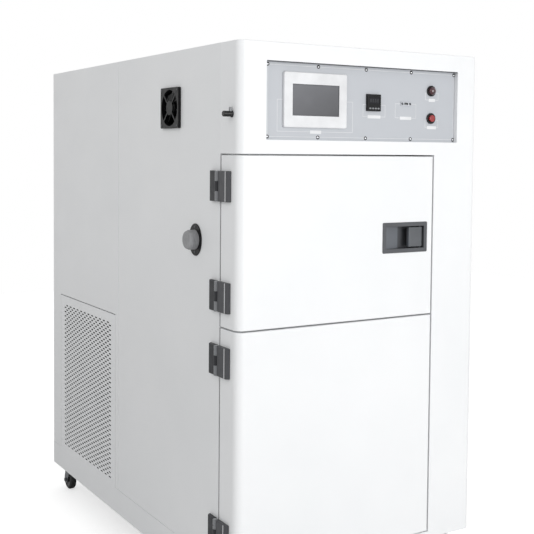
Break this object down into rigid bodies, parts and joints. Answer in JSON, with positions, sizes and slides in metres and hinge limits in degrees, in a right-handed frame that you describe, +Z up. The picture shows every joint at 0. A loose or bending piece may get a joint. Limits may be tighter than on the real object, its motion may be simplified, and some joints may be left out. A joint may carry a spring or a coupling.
{
  "type": "environmental test chamber",
  "caption": "Floor-standing climatic test cabinet on castors with an upper test door, a lower door, a touch-screen control housing and a rear machine room.",
  "frame": {"origin": "middle of the footprint on the floor, with the footprint taken over the cabinet and the cable port's cap", "axes": "+X to the right as seen from the front, +Y from the doors to the back, +Z up"},
  "size_m": [0.866, 1.467, 1.624],
  "materials": {
    "cabinet_paint": "satin",
    "front_paint": "satin",
    "control_grey": "satin",
    "white_plastic": "satin",
    "screen_glass": "gloss",
    "black_plastic": "satin",
    "charcoal_plastic": "satin",
    "red_plastic": "gloss",
    "bright_metal": "polished",
    "hinge_zinc": "satin",
    "stainless": "satin",
    "galvanised": "matte",
    "foam": "matte",
    "seal_rubber": "matte",
    "grey_rubber": "matte",
    "castor_tyre": "matte",
    "castor_steel": "satin",
    "coil_fins": "satin",
    "machine_black": "satin",
    "motor_grey": "satin"
  },
  "bodies": {
    "cabinet": {"base_frame": "cabinet_paint", "body_frame": "galvanised", "left_side_panel": "cabinet_paint", "right_side_panel": "cabinet_paint", "left_rear_panel": "cabinet_paint", "right_rear_panel": "cabinet_paint", "left_vent_panel": "cabinet_paint", "back_panel": "cabinet_paint", "top_panel": "cabinet_paint", "front_fascia": "front_paint", "control_panel": "control_grey", "screen_housing": "white_plastic", "screen": "screen_glass", "temperature_controller": "black_plastic", "data_socket": "black_plastic", "device_bezels": "black_plastic", "alarm_lamp": "red_plastic", "cabinet_hinge_leaves": "hinge_zinc", "exhaust_fan_housing": "black_plastic", "cable_port_flange": "black_plastic", "upper_liner": "stainless", "lower_liner": "stainless", "cabinet_insulation": "foam", "shelf_rails": "stainless", "air_duct_panel": "stainless", "circulation_motor": "motor_grey", "heater_element": "stainless", "evaporator_coil": "coil_fins", "compressor": "machine_black", "condenser_coil": "coil_fins", "condenser_fan_shroud": "galvanised", "electrical_plate": "galvanised", "castor_plates": "castor_steel"},
    "upper_door": {"upper_door_shell": "front_paint", "upper_door_inner_panel": "stainless", "upper_door_gasket": "seal_rubber", "upper_door_hinge_leaves": "hinge_zinc", "handle_tray": "charcoal_plastic", "latch_case": "galvanised"},
    "lower_door": {"lower_door_shell": "front_paint", "lower_door_inner_panel": "stainless", "lower_door_gasket": "seal_rubber", "lower_door_hinge_leaves": "hinge_zinc"},
    "handle_paddle": {"handle_paddle": "charcoal_plastic"},
    "latch_bolt": {"latch_bolt": "bright_metal"},
    "power_button": {"power_button": "red_plastic"},
    "exhaust_fan_rotor": {"exhaust_fan_rotor": "black_plastic"},
    "cable_port_plug": {"cable_port_plug": "grey_rubber"},
    "shelf": {"shelf": "stainless"},
    "circulation_fan_wheel": {"circulation_fan_wheel": "coil_fins"},
    "condenser_fan": {"condenser_fan": "coil_fins"},
    "side_latch_knob": {"side_latch_knob": "black_plastic"},
    "castor_fork_front_left": {"castor_fork_front_left": "castor_steel"},
    "castor_wheel_front_left": {"castor_wheel_front_left": "castor_tyre"},
    "castor_fork_front_right": {"castor_fork_front_right": "castor_steel"},
    "castor_wheel_front_right": {"castor_wheel_front_right": "castor_tyre"},
    "castor_fork_rear_left": {"castor_fork_rear_left": "castor_steel"},
    "castor_wheel_rear_left": {"castor_wheel_rear_left": "castor_tyre"},
    "castor_fork_rear_right": {"castor_fork_rear_right": "castor_steel"},
    "castor_wheel_rear_right": {"castor_wheel_rear_right": "castor_tyre"}
  },
  "joints": [
    {"name": "upper_door_hinge", "type": "hinge", "parent": "cabinet", "child": "upper_door", "pos_m": [-0.411, -0.6325, 1.08725], "axis": [0, 0, -1], "range_deg": [0, 110]},
    {"name": "lower_door_hinge", "type": "hinge", "parent": "cabinet", "child": "lower_door", "pos_m": [-0.411, -0.6325, 0.52075], "axis": [0, 0, -1], "range_deg": [0, 110]},
    {"name": "paddle_pivot", "type": "hinge", "parent": "upper_door", "child": "handle_paddle", "pos_m": [0.22, -0.7235, 1.0845], "axis": [0, 0, 1], "range_deg": [0, 30.2]},
    {"name": "latch_bolt_slide", "type": "slide", "parent": "upper_door", "child": "latch_bolt", "axis": [-1, 0, 0], "range_m": [0, 0.018], "stiffness_N_per_m": 20},
    {"name": "power_button_press", "type": "slide", "parent": "cabinet", "child": "power_button", "axis": [0, 1, 0], "range_m": [0, 0.004], "stiffness_N_per_m": 400},
    {"name": "exhaust_fan_spin", "type": "hinge", "parent": "cabinet", "child": "exhaust_fan_rotor", "pos_m": [-0.392, -0.33, 1.4575], "axis": [1, 0, 0], "continuous": true},
    {"name": "cable_port_plug_slide", "type": "slide", "parent": "cabinet", "child": "cable_port_plug", "axis": [-1, 0, 0], "range_m": [0, 0.08]},
    {"name": "shelf_slide", "type": "slide", "parent": "cabinet", "child": "shelf", "axis": [0, -1, 0], "range_m": [0, 0.04]},
    {"name": "circulation_fan_spin", "type": "hinge", "parent": "cabinet", "child": "circulation_fan_wheel", "pos_m": [-0.062, -0.0719, 1.0875], "axis": [0, 1, 0], "continuous": true},
    {"name": "condenser_fan_spin", "type": "hinge", "parent": "cabinet", "child": "condenser_fan", "pos_m": [-0.2765, 0.3775, 0.426], "axis": [1, 0, 0], "continuous": true},
    {"name": "side_latch_turn", "type": "hinge", "parent": "cabinet", "child": "side_latch_knob", "pos_m": [-0.402, -0.6985, 1.43], "axis": [1, 0, 0], "range_deg": [0, 90]},
    {"name": "castor_swivel_front_left", "type": "hinge", "parent": "cabinet", "child": "castor_fork_front_left", "pos_m": [-0.349, -0.5675, 0.1], "axis": [0, 0, 1], "continuous": true},
    {"name": "castor_roll_front_left", "type": "hinge", "parent": "castor_fork_front_left", "child": "castor_wheel_front_left", "pos_m": [-0.349, -0.5435, 0.0375], "axis": [1, 0, 0], "continuous": true},
    {"name": "castor_swivel_front_right", "type": "hinge", "parent": "cabinet", "child": "castor_fork_front_right", "pos_m": [0.38, -0.5675, 0.1], "axis": [0, 0, 1], "continuous": true},
    {"name": "castor_roll_front_right", "type": "hinge", "parent": "castor_fork_front_right", "child": "castor_wheel_front_right", "pos_m": [0.38, -0.5435, 0.0375], "axis": [1, 0, 0], "continuous": true},
    {"name": "castor_swivel_rear_left", "type": "hinge", "parent": "cabinet", "child": "castor_fork_rear_left", "pos_m": [-0.349, 0.6675, 0.1], "axis": [0, 0, 1], "continuous": true},
    {"name": "castor_roll_rear_left", "type": "hinge", "parent": "castor_fork_rear_left", "child": "castor_wheel_rear_left", "pos_m": [-0.349, 0.6915, 0.0375], "axis": [1, 0, 0], "continuous": true},
    {"name": "castor_swivel_rear_right", "type": "hinge", "parent": "cabinet", "child": "castor_fork_rear_right", "pos_m": [0.38, 0.6675, 0.1], "axis": [0, 0, 1], "continuous": true},
    {"name": "castor_roll_rear_right", "type": "hinge", "parent": "castor_fork_rear_right", "child": "castor_wheel_rear_right", "pos_m": [0.38, 0.6915, 0.0375], "axis": [1, 0, 0], "continuous": true}
  ],
  "couplings": [
    {"joint": "paddle_pivot", "follows": "latch_bolt_slide", "rad_per_m": 29.089}
  ]
}
